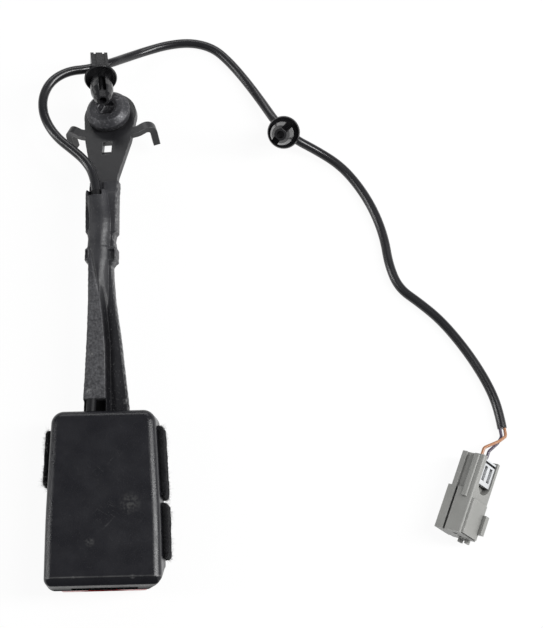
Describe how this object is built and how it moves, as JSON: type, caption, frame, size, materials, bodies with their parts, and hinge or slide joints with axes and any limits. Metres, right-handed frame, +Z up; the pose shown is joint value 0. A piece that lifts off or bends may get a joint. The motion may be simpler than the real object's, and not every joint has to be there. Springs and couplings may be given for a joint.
{
  "type": "seat belt buckle",
  "caption": "Front seat belt buckle with a steel anchor strap in a moulded sleeve, captive anchor bolt, belt-switch cable with push-in clips and a small plug",
  "frame": {"origin": "under the middle of the buckle and its strap (the cable, its clips and the plug left out), on the plane the buckle lies on", "axes": "+Y runs along the strap from the press button to the anchor bolt, +Z is up out of the buckle's back face, +X is to the right"},
  "size_m": [0.1962, 0.2459, 0.0349],
  "materials": {
    "shell_black": "near-black moulded ABS with a fine satin grain and rubbed marks",
    "button_red": "smooth red",
    "frame_steel": "zinc-plated pressing",
    "latch_steel": "hardened steel, oiled",
    "ejector_plastic": "dark acetal",
    "spring_steel": "drawn wire",
    "switch_black": "dull black",
    "inner_wire": "PVC insulation",
    "felt_black": "fuzzy felt",
    "strap_black": "black coating, satin",
    "bolt_dark": "dark phosphate, worn",
    "washer_steel": "dark spring steel",
    "sleeve_black": "moulded black, rough flash at the edges",
    "cable_black": "glossy black PVC jacket",
    "clip_black": "black nylon",
    "wire_dark": "dark violet PVC",
    "wire_orange": "orange-brown PVC",
    "plug_grey": "warm grey moulding",
    "retainer_white": "off-white moulding",
    "terminal_brass": "tinned brass"
  },
  "bodies": {
    "buckle": {"rear_cover": "shell_black", "front_cover": "shell_black", "buckle_frame": "frame_steel", "latch_pin": "latch_steel", "latch_spring": "spring_steel", "ejector_spring": "spring_steel", "button_spring": "spring_steel", "strap_rivet": "frame_steel", "buckle_switch": "switch_black", "switch_wires": "inner_wire", "felt_pad_left": "felt_black", "felt_pad_right_upper": "felt_black", "felt_pad_right_lower": "felt_black", "anchor_strap": "strap_black", "stalk_sleeve": "sleeve_black", "sleeve_lead": "cable_black", "signal_cable": "cable_black", "first_clip": "clip_black", "second_clip": "clip_black", "plug_wire_dark": "wire_dark", "plug_wire_orange": "wire_orange", "plug_housing": "plug_grey", "plug_retainer": "retainer_white", "plug_terminals": "terminal_brass"},
    "button": {"press_button": "button_red", "lock_bar": "latch_steel"},
    "ejector": {"ejector": "ejector_plastic"},
    "latch": {"latch": "latch_steel"},
    "bolt": {"anchor_bolt": "bolt_dark", "wave_washer": "washer_steel", "retaining_washer": "washer_steel"}
  },
  "joints": [
    {"name": "button_press", "type": "slide", "parent": "buckle", "child": "button", "axis": [0, 1, 0], "range_m": [0, 0.006], "stiffness_N_per_m": 500, "springref_m": -0.004, "deforming": ["button_spring"]},
    {"name": "ejector_slide", "type": "slide", "parent": "buckle", "child": "ejector", "axis": [0, 1, 0], "range_m": [0, 0.01], "stiffness_N_per_m": 400, "springref_m": -0.008, "deforming": ["ejector_spring"]},
    {"name": "latch_pivot", "type": "hinge", "parent": "buckle", "child": "latch", "pos_m": [0, -0.06, 0.01018], "axis": [1, 0, 0], "range_deg": [-12, 0]},
    {"name": "bolt_spin", "type": "hinge", "parent": "buckle", "child": "bolt", "pos_m": [0.0017, 0.0966, 0.016], "axis": [-0.1399, 0.2216, 0.9651], "continuous": true}
  ],
  "couplings": [
    {"joint": "latch_pivot", "follows": "ejector_slide", "rad_per_m": -20.94}
  ]
}
